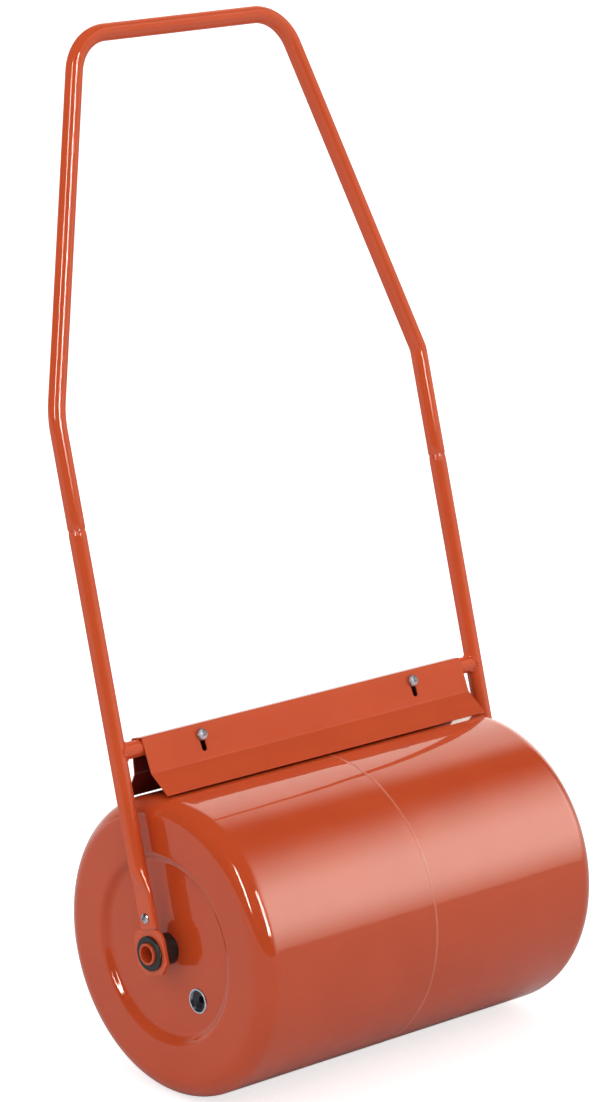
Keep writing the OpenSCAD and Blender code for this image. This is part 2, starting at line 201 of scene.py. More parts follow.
def add_mesh(name, verts, faces, place=None, sharp=SHARP):
    """A smooth-shaded object from points and faces, with edges over `sharp` degrees kept crisp."""
    mesh = bpy.data.meshes.new(name)
    mesh.from_pydata([tuple(v) for v in verts], [], faces)
    obj = bpy.data.objects.new(name, mesh)
    bpy.context.scene.collection.objects.link(obj)
    if place is not None:
        mesh.transform(place)
    tidy_mesh(obj, sharp)
    return obj


def tidy_mesh(obj, sharp):
    """Joins doubled points, turns the faces outwards and marks the sharp edges."""
    bm = bmesh.new()
    bm.from_mesh(obj.data)
    bmesh.ops.remove_doubles(bm, verts=bm.verts, dist=1e-7)
    bmesh.ops.dissolve_degenerate(bm, dist=1e-8, edges=bm.edges)
    bmesh.ops.recalc_face_normals(bm, faces=bm.faces)
    for face in bm.faces:
        face.smooth = True
    for edge in bm.edges:
        two = len(edge.link_faces) == 2
        edge.smooth = not (two and edge.calc_face_angle(0) > math.radians(sharp))
    bm.to_mesh(obj.data)
    bm.free()


def loop_grid(rings):
    """Points and quads that join a ring of rings, each a closed loop of the same count."""
    count = len(rings[0])
    verts = [p for ring in rings for p in ring]
    faces = []
    for i in range(len(rings)):
        a, b = i * count, (i + 1) % len(rings) * count
        for j in range(count):
            k = (j + 1) % count
            faces.append((a + j, a + k, b + k, b + j))
    return verts, faces


def lathe(name, outline, steps, place=None, sharp=SHARP, shape=None):
    """A closed outline of (radius, height) points turned round Z. `shape` may move each point."""
    rings = []
    for i in range(steps):
        a = TAU * i / steps
        ring = [Vector((r * math.cos(a), r * math.sin(a), h)) for r, h in outline]
        rings.append([shape(p) for p in ring] if shape else ring)
    verts, faces = loop_grid(rings)
    return add_mesh(name, verts, faces, place, sharp)


def apply_modifiers(obj):
    """Makes the result of the object's modifiers its own mesh."""
    graph = bpy.context.evaluated_depsgraph_get()
    mesh = bpy.data.meshes.new_from_object(obj.evaluated_get(graph))
    obj.modifiers.clear()
    obj.data = mesh


def cut_away(obj, tools, sharp):
    """Cuts each tool out of the object, and removes the tools."""
    for tool in tools:
        cut = obj.modifiers.new("cut", "BOOLEAN")
        cut.operation = "DIFFERENCE"
        cut.solver = "EXACT"
        cut.object = tool
    apply_modifiers(obj)
    for tool in tools:
        bpy.data.objects.remove(tool)
    tidy_mesh(obj, sharp)


def cylinder_tool(radius, half_height, place, steps=96):
    """A plain cylinder or prism that a boolean cuts with."""
    outline = [(0, -half_height), (radius, -half_height), (radius, half_height), (0, half_height)]
    return lathe("cutter", outline, steps, place)


def round_edges(obj, width, angle):
    """Rounds every edge sharper than `angle` degrees."""
    bevel = obj.modifiers.new("rounded_edges", "BEVEL")
    bevel.width = width
    bevel.segments = 3
    bevel.limit_method = "ANGLE"
    bevel.angle_limit = math.radians(angle)
    bevel.harden_normals = True


def soften(name, width):
    """Rounds the sharp edges of a CAD piece, once its doubled points are joined."""
    obj = nodes[name]
    obj.modifiers.new("joined_points", "WELD").merge_threshold = 0.002 * MM
    round_edges(obj, width, 40)


# ---- Studio light ----

# Soft boxes as (azimuth, half width, lowest and highest elevation, edge softness, strength), in degrees:
# a wide one beside the drum's front, one behind it, a low glow behind, and three narrow strips for glints
DRUM_BOX = (47, 28, 4, 41, 14, 5.6)
BACK_BOX = (128, 22, 8, 48, 8, 1.75)
BIG_BOXES = (DRUM_BOX, BACK_BOX)
SOFT_BOXES = (
    *BIG_BOXES,
    (138, 62, -12, 16, 8, 0.7),
    (-5, 1.0, 14, 44, 0.8, 90.0),
    (3.5, 1.0, 14, 44, 0.8, 90.0),
    (-70, 2.5, 16, 46, 2.0, 40.0),
)
# The room away from the camera, which the tubes hardly mirror at their edges. It gives no light
AWAY = (138, 62, -60, 16, 8, 0.0)
# What mirrored rays see between the boxes, and their warm tint
REFLECTED_ROOM = 0.07
MIRRORED_TINT = (1, 0.965, 0.88)
# Fill for matt surfaces: from below and above, where and how softly it changes, and the front left's extra
FILL_LOW = 0.46
FILL_HIGH = 0.97
FILL_AT = math.radians(10)
FILL_SOFT = math.radians(60)
FILL_FRONT = 0.20
FRONT_LOBE = (-0.75, -0.60, 0.28)


def feed(tree, source, socket):
    """Gives a socket a number, a colour or another node's output."""
    if isinstance(source, (int, float)):
        socket.default_value = source
    elif isinstance(source, tuple):
        socket.default_value = (*source, 1)
    else:
        tree.links.new(source, socket)


def math_node(tree, operation, *sources):
    """A maths node on numbers or other nodes' outputs."""
    made = tree.nodes.new("ShaderNodeMath")
    made.operation = operation
    for source, socket in zip(sources, made.inputs):
        feed(tree, source, socket)
    return made.outputs[0]


def along(tree, vector, heading):
    """How far a vector reaches along a heading."""
    made = tree.nodes.new("ShaderNodeVectorMath")
    made.operation = "DOT_PRODUCT"
    made.inputs[1].default_value = heading
    tree.links.new(vector, made.inputs[0])
    return made.outputs["Value"]


def map_range(tree, value, ends, results, interpolation="LINEAR"):
    """Maps a value from one pair of ends to a pair of results."""
    made = tree.nodes.new("ShaderNodeMapRange")
    made.interpolation_type = interpolation
    made.inputs["From Min"].default_value, made.inputs["From Max"].default_value = ends
    made.inputs["To Min"].default_value, made.inputs["To Max"].default_value = results
    tree.links.new(value, made.inputs["Value"])
    return made.outputs["Result"]


def soft_edge(tree, value, at, soft, low=0.0, high=1.0):
    """A smooth change from low to high as value passes `at`, over twice `soft`."""
    return map_range(tree, value, (at - soft, at + soft), (low, high), "SMOOTHSTEP")


def mix_colours(tree, factor, first, second):
    """Mixes two colours by a factor."""
    made = tree.nodes.new("ShaderNodeMix")
    made.data_type = "RGBA"
    tree.links.new(factor, made.inputs[0])
    feed(tree, first, made.inputs[6])
    feed(tree, second, made.inputs[7])
    return made.outputs[2]


def mix_numbers(tree, factor, first, second):
    """Mixes two numbers by a factor."""
    made = tree.nodes.new("ShaderNodeMix")
    tree.links.new(factor, made.inputs[0])
    feed(tree, first, made.inputs[2])
    feed(tree, second, made.inputs[3])
    return made.outputs[0]


def azimuth_elevation(tree, vector):
    """Outputs with the azimuth and elevation of a direction."""
    split = tree.nodes.new("ShaderNodeSeparateXYZ")
    tree.links.new(vector, split.inputs[0])
    x, y, z = split.outputs
    azimuth = math_node(tree, "ARCTAN2", x, math_node(tree, "MULTIPLY", y, -1.0))
    return azimuth, math_node(tree, "ARCSINE", z)


def box_mask(tree, azimuth, elevation, box):
    """1 inside a soft box as seen in that direction, and 0 outside."""
    az, half, low, high, soft = (math.radians(v) for v in box[:5])
    turn = math_node(tree, "SUBTRACT", azimuth, az)
    side = math_node(tree, "ABSOLUTE", math_node(tree, "WRAP", turn, math.pi, -math.pi))
    mask = soft_edge(tree, side, half, soft, 1.0, 0.0)
    mask = math_node(tree, "MULTIPLY", mask, soft_edge(tree, elevation, low, soft))
    return math_node(tree, "MULTIPLY", mask, soft_edge(tree, elevation, high, soft, 1.0, 0.0))


# ---- Materials ----

class Shader:
    """A node material, with short calls for the few kinds of node that it needs."""

    def __init__(self, name):
        self.material = bpy.data.materials.new(name)
        self.material.use_nodes = True
        self.tree = self.material.node_tree
        self.surface = self.tree.nodes["Principled BSDF"]
        self.where = self.tree.nodes.new("ShaderNodeTexCoord").outputs["Object"]

    def set(self, **values):
        for key, value in values.items():
            self.surface.inputs[key.replace("_", " ")].default_value = value

    def link(self, output, key):
        self.tree.links.new(output, self.surface.inputs[key])

    def noise(self, scale, detail, rough=0.5):
        node = self.tree.nodes.new("ShaderNodeTexNoise")
        node.inputs["Scale"].default_value = scale
        node.inputs["Detail"].default_value = detail
        node.inputs["Roughness"].default_value = rough
        self.tree.links.new(self.where, node.inputs["Vector"])
        return node.outputs["Fac"]

    def spread(self, value, low, high):
        """Spreads the middle of a noise's values over a range of numbers."""
        return map_range(self.tree, value, (0.3, 0.7), (low, high))

    def cloud(self, scale, detail, first, second):
        """A colour that drifts between two as a noise does."""
        return mix_colours(self.tree, self.spread(self.noise(scale, detail), 0, 1), first, second)

    def mirrors(self, boxes, wider):
        """1 where the surface mirrors one of the boxes, each taken `wider` degrees larger all round."""
        mirror = self.tree.nodes.new("ShaderNodeTexCoord").outputs["Reflection"]
        azimuth, elevation = azimuth_elevation(self.tree, mirror)
        found = 0.0
        for az, half, low, high, soft, _ in boxes:
            grown = (az, half + wider, low - wider, high + wider, soft)
            found = math_node(self.tree, "MAXIMUM", box_mask(self.tree, azimuth, elevation, grown), found)
        return found

    def bump(self, value, distance, below=None):
        node = self.tree.nodes.new("ShaderNodeBump")
        node.inputs["Distance"].default_value = distance
        self.tree.links.new(value, node.inputs["Height"])
        if below is not None:
            self.tree.links.new(below, node.inputs["Normal"])
        return node.outputs["Normal"]


def enamel(name, deep, bright, shaded=(), waves=0.06 * MM, peel_depth=0.012 * MM):
    """Sprayed enamel: a clear, slightly orange-peeled coat over an orange-red base.
    The coat hardly mirrors the `shaded` soft boxes."""
    shaded_coat = 0.07
    margin = 4
    s = Shader(name)
    s.link(s.cloud(14, 3, deep, bright), "Base Color")
    s.link(s.spread(s.noise(60, 4), 0.30, 0.42), "Roughness")
    s.set(Specular_IOR_Level=0.05, Coat_Weight=1.0, Coat_IOR=1.5)
    if shaded:
        s.link(map_range(s.tree, s.mirrors(shaded, margin), (0, 1), (1, shaded_coat)), "Coat Weight")
    s.link(s.spread(s.noise(35, 3), 0.012, 0.035), "Coat Roughness")
    peel = s.bump(s.noise(420, 2, 0.4), peel_depth)
    skin = s.bump(s.noise(45, 2, 0.5), waves, below=peel)
    s.link(skin, "Coat Normal")
    s.link(peel, "Normal")
    return s.material


def zinc_plate(name, metallic=1.0):
    """Zinc plate, with faint clouding and a fine grain. It goes dark where it would mirror the two
    big soft boxes, which are meant for the drum."""
    margin = 16
    dark = (0.065, 0.070, 0.078)
    s = Shader(name)
    bright = s.cloud(900, 3, (0.50, 0.54, 0.61), (0.66, 0.70, 0.77))
    s.link(mix_colours(s.tree, s.mirrors(BIG_BOXES, margin), bright, dark), "Base Color")
    s.set(Metallic=metallic)
    s.link(s.spread(s.noise(1600, 4), 0.18, 0.32), "Roughness")
    s.link(s.bump(s.noise(2600, 3), 0.01 * MM), "Normal")
    return s.material


def moulded(name, dark, light, rough_low, rough_high, grain):
    """Moulded plastic or rubber with a fine grain."""
    s = Shader(name)
    s.link(s.cloud(300, 3, dark, light), "Base Color")
    s.link(s.spread(s.noise(700, 3), rough_low, rough_high), "Roughness")
    s.link(s.bump(s.noise(2200, 2), grain), "Normal")
    return s.material


PAINT = enamel("drum_enamel", (0.565, 0.067, 0.0150), (0.605, 0.075, 0.0175))
# The sheet and tube copies stand for one frame enamel. The tube copy's lighter base is painted light.
SHEET_PAINT = enamel("sheet_enamel", (0.595, 0.078, 0.0205), (0.635, 0.086, 0.0235), BIG_BOXES,
                     waves=0.02 * MM)
LIT_TUBE_PAINT = enamel("lit_tube_enamel", (0.655, 0.086, 0.0220), (0.695, 0.094, 0.0250), (*BIG_BOXES, AWAY),
                    waves=0, peel_depth=0.004 * MM)
# Dark copy of the enamel for the scraper's inner faces: painted shade inside the fold and under its crown.
INNER_SHADE_PAINT = enamel("inner_painted_shade_enamel", (0.115, 0.0120, 0.0100), (0.150, 0.0160, 0.0130), BIG_BOXES)
# Lighter copy of the enamel for the seam's weld bead: a painted highlight along the seam.
SEAM_HIGHLIGHT_PAINT = enamel("seam_painted_highlight_enamel", (0.62, 0.13, 0.065), (0.68, 0.17, 0.095))
ZINC = zinc_plate("zinc_plate")
DULL_ZINC = zinc_plate("dull_zinc_plate", 0.30)
BUSH = moulded("bush_plastic", (0.010, 0.010, 0.011), (0.018, 0.018, 0.020), 0.34, 0.48, 0.012 * MM)
PLUG = moulded("plug_plastic", (0.014, 0.015, 0.024), (0.022, 0.024, 0.036), 0.20, 0.28, 0.006 * MM)
SEAL = moulded("seal_rubber", (0.012, 0.012, 0.012), (0.022, 0.022, 0.022), 0.6, 0.75, 0.02 * MM)
FINISHES = {"paint": PAINT, "frame_paint": LIT_TUBE_PAINT, "zinc": ZINC, "bush": BUSH, "plug": PLUG, "seal": SEAL}
NODE_SLOT = {part["node"]: part["material_slot"] for part in record["subparts"]}


def finish_piece(obj, body, slot, *stands_for):
    """Gives a new piece its material and its body, and hides the CAD nodes that it stands for."""
    obj.data.materials.clear()
    obj.data.materials.append(FINISHES[slot])
    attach(obj, body)
    if stands_for:
        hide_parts(*stands_for)
    return obj


# ---- Drum ----

def drum_outline(inset):
    """Half of the drum's outline from the axle hole to the seam, as (radius, height)."""
    half_turn = math.tan(math.pi / 8)
    floor_at = DRUM_HALF - RECESS_DEPTH - inset
    rim_at = DRUM_HALF - inset
    base = RECESS_R + inset * half_turn
    rim = base + RECESS_DEPTH
    floor_bend, rim_bend = RECESS_BEND_R + inset, RECESS_BEND_R - inset
    start = base - floor_bend * half_turn
    points = line((AXLE_R + AXLE_GAP, floor_at), (start, floor_at), 24)
    points += arc(start, floor_at + floor_bend, floor_bend, -math.pi / 2, -math.pi / 4, 10)
    points += arc(rim + rim_bend * half_turn, rim_at - rim_bend, rim_bend, math.pi * 3 / 4, math.pi / 2, 10)
    shoulder = (DRUM_R - SHOULDER_R, DRUM_HALF - SHOULDER_R)
    points += line(points[-1], (shoulder[0], rim_at), 8)[1:]
    points += arc(*shoulder, SHOULDER_R - inset, math.pi / 2, 0, 20)
    points += line(points[-1], (DRUM_R - inset, SEAM_GAP), 60)[1:]
    return points + [(DRUM_R - inset, SEAM_GAP)]


def sheet_wave(side):
    """Moves a point of the drum inwards by the slight waves of pressed and rolled sheet."""
    pull_in, waves_per_metre = 0.30 * MM, 9
    ripple, finer = 0.05 * MM, 3.1
    start = Vector((side * 3.7, 1.3, 0))
    shrink, shrink_width = 0.16 * MM, 9 * MM
    flat_to = 0.9 * DRUM_R

    def shape(p):
        radius = math.hypot(p.x, p.y)
        if radius < flat_to:
            return p
        spot = Vector((p.x, p.y, side * p.z)) * waves_per_metre + start
        wave = pull_in * (0.5 + 0.5 * noise.noise(spot)) + ripple * (0.5 + 0.5 * noise.noise(spot * finer))
        weld = shrink * math.exp(-(p.z / shrink_width) ** 2)
        scale = 1 - (wave + weld) / radius
        return Vector((p.x * scale, p.y * scale, p.z))
    return shape


def make_shell(side, name, node):
    """One pressed half of the drum. The left one has a hole for the filler's neck."""
    hole_gap = 0.02 * MM
    outline = drum_outline(0) + list(reversed(drum_outline(DRUM_WALL)))
    turn = Matrix.Rotation(side * math.pi / 2, 4, "Y")
    shell = lathe(name, outline, 320, turn, SHARP_TURNED, sheet_wave(side))
    if side < 0:
        hole = cylinder_tool(NECK_R + hole_gap, 5 * DRUM_WALL, filler_frame())
        cut_away(shell, [hole], SHARP_TURNED)
    return finish_piece(shell, "drum", "paint", node)


def make_seam():
    """Low weld bead with fine ripples round the middle of the drum, blended into both halves."""
    crown, crown_width = 0.14 * MM, 0.62 * MM
    sunk, swell = 0.30 * MM, 0.10 * MM
    foot = 1.5 * MM
    half = 8
    count = 1440
    rings = []
    for i in range(count):
        a = TAU * i / count
        ripple = 0.06 * math.sin(i * 1.9) + 0.14 * noise.noise(Vector((i * 0.35, 0, 0)))
        wander = 0.18 * MM * noise.noise(Vector((i * 0.04, 5.1, 0)))
        section = []
        for k in range(-half, half + 1):
            x = foot * k / half
            rise = crown * (1 + ripple) * math.exp(-(x / crown_width) ** 2) + swell * (1 - abs(k) / half)
            section.append((DRUM_R - sunk + rise, x + wander))
        section += [(DRUM_R - DRUM_WALL, SEAM_GAP), (DRUM_R - DRUM_WALL, -SEAM_GAP)]
        rings.append([Vector((x, r * math.cos(a), r * math.sin(a))) for r, x in section])
    verts, faces = loop_grid(rings)
    seam = finish_piece(add_mesh("seam_weld", verts, faces, None, 60), "drum", "paint", "drum_seam_weld")
    # The bead takes the lighter seam enamel, a painted highlight along the seam.
    seam.data.materials[0] = SEAM_HIGHLIGHT_PAINT
    return seam


def make_axle():
    """Open axle tube with softened ends."""
    soft = 0.5 * MM
    outline = []
    for end in (-1, 1):
        rim = arc(AXLE_R - soft, AXLE_HALF - soft, soft, 0, math.pi / 2, 5)
        lip = arc(AXLE_BORE_R + soft, AXLE_HALF - soft, soft, math.pi / 2, math.pi, 5)
        part = [(r, end * h) for r, h in rim + lip]
        outline += part if end > 0 else list(reversed(part))
    turn = Matrix.Rotation(math.pi / 2, 4, "Y")
    return finish_piece(lathe("axle", outline, 96, turn, SHARP_TURNED), "drum", "paint", "axle_tube")


def make_filler():
    """Ring of the filler's neck, and the hollow plug in it with its hex socket."""
    lip, edge, chamfer = 0.7 * MM, 0.35 * MM, 0.2 * MM
    off_disc = 0.02 * MM
    ring = [(NECK_R, -NECK_DEPTH), (NECK_R, off_disc), (RING_R, off_disc)]
    ring += arc(RING_R - lip, RING_PROUD - lip, lip, 0, math.pi / 2, 8)
    ring += arc(SEAT_R + edge, RING_PROUD - edge, edge, math.pi / 2, math.pi, 5)
    ring += [(SEAT_R, -SEAT_DEPTH), (THREAD_R, -SEAT_DEPTH), (THREAD_R, -NECK_DEPTH)]
    neck = lathe("filler_ring", ring, 128, filler_frame(), SHARP_TURNED)
    finish_piece(neck, "drum", "zinc", "filler_neck").data.materials[0] = DULL_ZINC

    cup = math.asin((CUP_R - CUP_DEPTH) / CUP_R)
    rim = CUP_R * math.cos(cup)
    under = CAP_FACE - CAP_HEAD
    cap = [(0, CAP_FACE - CAP_LEN), (CAP_BODY_R, CAP_FACE - CAP_LEN), (CAP_BODY_R, under)]
    cap += [(CAP_R - chamfer, under), (CAP_R, under + chamfer)]
    cap += arc(CAP_R - edge, CAP_FACE - edge, edge, 0, math.pi / 2, 5)
    cap += [(rim + edge, CAP_FACE), (rim + 0.3 * edge, CAP_FACE - 0.2 * edge)]
    cap += arc(0, CAP_FACE + CUP_R - CUP_DEPTH, CUP_R, -cup, -math.pi / 2, 24)[1:]
    plug = lathe("filler_cap", cap, 128, filler_frame(), SHARP_TURNED)
    deep = Matrix.Translation((0, 0, CAP_FACE))
    cut_away(plug, [cylinder_tool(SOCKET_R, SOCKET_DEPTH, filler_frame() @ deep, 6)], SHARP_TURNED)
    round_edges(plug, 0.25 * MM, SHARP_TURNED)
    finish_piece(plug, "plug", "plug", "filler_plug")


# ---- Legs and handle ----

def flat_ring(wide, thick, count):
    """Evenly spaced points round a flattened tube's outline, thick along X and wide along Y."""
    straight = max(wide - thick, 0.0)
    round_len = math.pi * thick / 2
    total = 2 * (round_len + straight)
    points = []
    for i in range(count):
        s = (total * i / count + straight / 2) % total
        if s < straight:
            points.append((thick / 2, s - straight / 2))
        elif s < straight + round_len:
            a = (s - straight) / (thick / 2)
            points.append((thick / 2 * math.cos(a), straight / 2 + thick / 2 * math.sin(a)))
        elif s < 2 * straight + round_len:
            points.append((-thick / 2, straight / 2 - (s - straight - round_len)))
        else:
            a = math.pi + (s - 2 * straight - round_len) / (thick / 2)
            points.append((thick / 2 * math.cos(a), -straight / 2 + thick / 2 * math.sin(a)))
    return points


def leg_ring(up, inset, side, count):
    """The leg's outline at a height, `inset` inside its outer face. Flattening keeps its girth."""
    girth = TAU * TUBE_R
    thinnest = 0.001 * MM
    flat = 1 - smooth_step((up - FLAT_UP) / (ROUND_UP - FLAT_UP))
    thick = 2 * TUBE_R + (FOOT_T - 2 * TUBE_R) * flat
    wide = thick + max(girth - math.pi * thick, 0.0) / 2
    inner = min(wide - 2 * inset, wide), max(thick - 2 * inset, thinnest)
    shift = side * (LEG_X - FOOT_INSET * flat)
    return [Vector((shift + x, y, up)) for x, y in flat_ring(*inner, count)]


def round_ring(x, radius, up, count):
    """Evenly spaced points round a tube that stands at x, at a height up the leg."""
    turns = evenly(0, TAU, count)[:-1]
    return [Vector((x + radius * math.cos(a), radius * math.sin(a), up)) for a in turns]


def dent(point, side):
    """Pulls a point of the leg's neck in where a crimp dents it."""
    centre_r = TUBE_R + CRIMP_OUT
    axis = Vector((side * LEG_X, 0, point.z))
    out = point - axis
    radius = out.length
    for i in range(CRIMPS):
        a = TAU / CRIMPS * (i + 0.5)
        centre = Vector((side * (LEG_X + centre_r * math.cos(a)), centre_r * math.sin(a), CRIMP_UP + CRIMP_R))
        gap = CRIMP_R - (point - centre).length
        if gap > 0:
            point = axis + out * ((radius - gap) / radius)
    return point


def make_leg(side, name, node):
    """Tube with a flattened foot and a crimped neck that plugs into the handle."""
    count = 96
    x = side * LEG_X
    neck_from = CRIMP_UP - CRIMP_LEAD
    ups = evenly(FOOT_UP, FLAT_UP, 6)[:-1] + evenly(FLAT_UP, ROUND_UP, 32)[:-1]
    ups += evenly(ROUND_UP, neck_from, 30)
    outer = [leg_ring(FOOT_UP + up, inset, side, count) for up, inset in FOOT_CORNER]
    outer += [leg_ring(max(up, FOOT_UP + FOOT_ROUND), 0, side, count) for up in ups]
    for up in evenly(neck_from, JOINT_UP, 32)[1:]:
        taper = CRIMP_TAPER * max(0.0, (up - CRIMP_UP) / (JOINT_UP - CRIMP_UP))
        outer.append([dent(p, side) for p in round_ring(x, TUBE_R - taper, up, count)])
    outer += [round_ring(x, SPIGOT_R, up, count) for up in (JOINT_UP, SPIGOT_UP)]
    inner = [round_ring(x, SPIGOT_R - TUBE_WALL, up, count) for up in (SPIGOT_UP, neck_from)]
    inner += [leg_ring(up, FOOT_WALL, side, count) for up in reversed(ups)]
    verts, faces = loop_grid(outer + inner)
    leg = add_mesh(name, verts, faces, legs_frame(), 40)
    return finish_piece(leg, "frame", "frame_paint", node)


def handle_side(knee_r):
    """Centre line of the handle's right half, as (x, up, heading) from its joint to its middle."""
    turn = math.atan2(LEG_X - BAR_LEN / 2, BAR_UP - KNEE_UP)
    corner = math.pi / 2 - turn
    knee_tan = knee_r * math.tan(turn / 2)
    corner_tan = CORNER_R * math.tan(corner / 2)
    straight = (BAR_UP - KNEE_UP) / math.cos(turn) - knee_tan - corner_tan
    x, up, heading = LEG_X, JOINT_UP, 0.0
    path = [(x, up, heading)]

    def run(length, steps):
        nonlocal x, up
        for _ in range(steps):
            x -= math.sin(heading) * length / steps
            up += math.cos(heading) * length / steps
            path.append((x, up, heading))

    def bend(radius, angle, steps):
        nonlocal x, up, heading
        cx, cz = x - radius * math.cos(heading), up - radius * math.sin(heading)
        start = heading
        for i in range(1, steps + 1):
            heading = start + angle * i / steps
            x, up = cx + radius * math.cos(heading), cz + radius * math.sin(heading)
            path.append((x, up, heading))

    run(KNEE_UP - knee_tan - JOINT_UP, 10)
    bend(knee_r, turn, 20)
    run(straight, 24)
    bend(CORNER_R, corner, 32)
    run(x, 8)
    return path


def handle_path():
    """Centre line of the whole handle, from the right joint to the left one."""
    left = [(-x, up, math.pi - heading) for x, up, heading in reversed(handle_side(KNEE_RADII[-1])[:-1])]
    return handle_side(KNEE_RADII[1]) + left


def make_handle():
    """Bent tube handle with softened ends."""
    count = 64
    soft = 0.4 * MM
    path = handle_path()

    def ring(place, radius, ahead=0.0):
        x, up, heading = place
        forward = Vector((-math.sin(heading), 0, math.cos(heading)))
        out = Vector((math.cos(heading), 0, math.sin(heading)))
        centre = Vector((x, 0, up)) + forward * ahead
        turns = evenly(0, TAU, count)[:-1]
        return [centre + out * radius * math.cos(a) + Vector((0, radius * math.sin(a), 0)) for a in turns]

    lip = ((soft, 0), (0.3 * soft, 0.3 * soft), (0, soft))
    rings = [ring(path[0], TUBE_R - inset, ahead) for inset, ahead in lip]
    rings += [ring(p, TUBE_R) for p in path[1:-1]]
    rings += [ring(path[-1], TUBE_R - inset, -ahead) for inset, ahead in reversed(lip)]
    rings += [ring(p, TUBE_R - TUBE_WALL) for p in reversed(path)]
    verts, faces = loop_grid(rings)
    handle = add_mesh("handle", verts, faces, legs_frame(), SHARP_TURNED)
    return finish_piece(handle, "frame", "frame_paint", "handle_tube")


def make_cross_welds():
    """Rippled weld beads where the cross tube meets each leg."""
    around, across, bead = 240, 14, 2.3 * MM
    dabs = 11
    thin, swell, uneven = 0.70, 0.24, 0.06
    verts, faces = [], []
    for side in (-1, 1):
        rings = []
        for i in range(around):
            a = TAU * i / around
            y = CROSS_R * math.sin(a)
            centre = Vector((side * (LEG_X - math.sqrt(TUBE_R ** 2 - y * y)), y, CROSS_R * math.cos(a)))
            out = Vector((0, math.sin(a), math.cos(a)))
            inward = Vector((-side, 0, 0))
            lump = thin + swell * abs(math.sin(dabs * a / 2)) + uneven * noise.noise(centre * 700)
            rings.append([centre + (out * math.sin(TAU * k / across) + inward * math.cos(TAU * k / across))
                          * bead * lump for k in range(across)])
        points, quads = loop_grid(rings)
        faces += [tuple(len(verts) + n for n in quad) for quad in quads]
        verts += points
    welds = add_mesh("cross_welds", verts, faces, legs_frame(CROSS_UP), 80)
    return finish_piece(welds, "frame", "frame_paint", "cross_tube_welds")


# ---- Scraper ----

def skirt(depth, trim=0.0, steps=10):
    """One side of the folded sheet as (out, up), from its crown to its blade, cut short by `trim`."""
    outer = PANEL_IN + SHEET
    core = PANEL_IN - FOLD_R
    fold = (core * (1 - math.sin(UPPER_FLARE)) / math.cos(UPPER_FLARE), core)
    knee = ((outer + SKIRT_UP * math.sin(UPPER_FLARE)) / math.cos(UPPER_FLARE), -SKIRT_UP)
    mid = (LOWER_FLARE + UPPER_FLARE) / 2
    reach = SKIRT_BEND_R / math.cos((LOWER_FLARE - UPPER_FLARE) / 2)
    bend = (knee[0] + reach * math.cos(mid), knee[1] + reach * math.sin(mid))
    length = (SKIRT_LOW - SKIRT_UP) / math.cos(LOWER_FLARE) - trim
    behind = SHEET - depth
    tip = (knee[0] + length * math.sin(LOWER_FLARE) - behind * math.cos(LOWER_FLARE),
           knee[1] - length * math.cos(LOWER_FLARE) - behind * math.sin(LOWER_FLARE))
    points = arc(*fold, FOLD_R + depth, math.pi / 2, UPPER_FLARE, steps)
    points += arc(*bend, SKIRT_BEND_R + behind, math.pi + UPPER_FLARE, math.pi + LOWER_FLARE, steps)
    return points + [tip]


def mirrored(points):
    """The same side of the sheet on the other side of the cross tube, in reverse."""
    return [(-a, b) for a, b in reversed(points)]


def slot_tool(x):
    """A long round-ended cutter for a bolt slot in the sheet's front panel."""
    middle = PANEL_IN + SHEET / 2
    out = (middle + BOLT_DROP * math.sin(UPPER_FLARE)) / math.cos(UPPER_FLARE)
    top = -out * math.sin(UPPER_FLARE) - BOLT_DROP * math.cos(UPPER_FLARE) + SLOT_END_GAP
    radius = SLOT_W / 2
    outline = arc(0, top, radius, 0, math.pi, 24) + arc(0, top - SLOT_RUN, radius, math.pi, TAU, 24)
    verts = [Vector((x + a, d, b)) for d in (-middle - 3 * SHEET, -middle + 3 * SHEET) for a, b in outline]
    n = len(outline)
    faces = [tuple(range(n)), tuple(reversed(range(n, 2 * n)))]
    faces += [(i, (i + 1) % n, (i + 1) % n + n, i + n) for i in range(n)]
    place = legs_frame(CROSS_UP) @ Matrix.Rotation(-UPPER_FLARE, 4, "X")
    return add_mesh("slot_cutter", verts, faces, place)


def make_scraper():
    """Folded sheet over the cross tube, with a bolt slot near each end of its front."""
    crease = 20
    section = mirrored(skirt(SHEET)) + skirt(SHEET, REAR_TRIM)
    section += list(reversed(skirt(0, REAR_TRIM))) + list(reversed(mirrored(skirt(0))))
    ends = [-SCRAPER_HALF, SCRAPER_HALF]
    n = len(section)
    verts = [Vector((x, a, b)) for x in ends for a, b in section]
    faces = [(i, (i + 1) % n, (i + 1) % n + n, i + n) for i in range(n)]
    half = n // 2
    for base in (0, n):
        faces += [(base + i, base + i + 1, base + n - 2 - i, base + n - 1 - i) for i in range(half - 1)]
    scraper = add_mesh("scraper_sheet", verts, faces, legs_frame(CROSS_UP), crease)
    cut_away(scraper, [slot_tool(-BOLT_X), slot_tool(BOLT_X)], crease)
    round_edges(scraper, 0.35 * MM, SHARP_TURNED)
    finish_piece(scraper, "scraper", "frame_paint", "scraper")
    scraper.data.materials[0] = SHEET_PAINT
    # The faces inside the fold and under its crown take the dark inner enamel, as painted shade.
    scraper.data.materials.append(INNER_SHADE_PAINT)
    to_fold = legs_frame(CROSS_UP).inverted()
    for face in scraper.data.polygons:
        spot = to_fold @ face.center
        facing = to_fold.to_3x3() @ face.normal
        inside = facing.y * math.copysign(1, spot.y) < -0.3
        under_fold = facing.z < -0.7 and spot.z > 0
        if inside or under_fold:
            face.material_index = 1
    return scraper


# ---- Stage ----

CAMERA_AZ = math.radians(-42.006)
CAMERA_EL = math.radians(14.378)
CAMERA_FAR = 4.705
CAMERA_AIM = Vector((0.0350, 0.0926, 0.3599))
CAMERA_LENS = 144.18


def direction(azimuth, elevation):
    """Unit vector: azimuth 0 is the front (-Y) and turns towards +X."""
    return Vector((math.sin(azimuth) * math.cos(elevation), -math.cos(azimuth) * math.cos(elevation),
                   math.sin(elevation)))


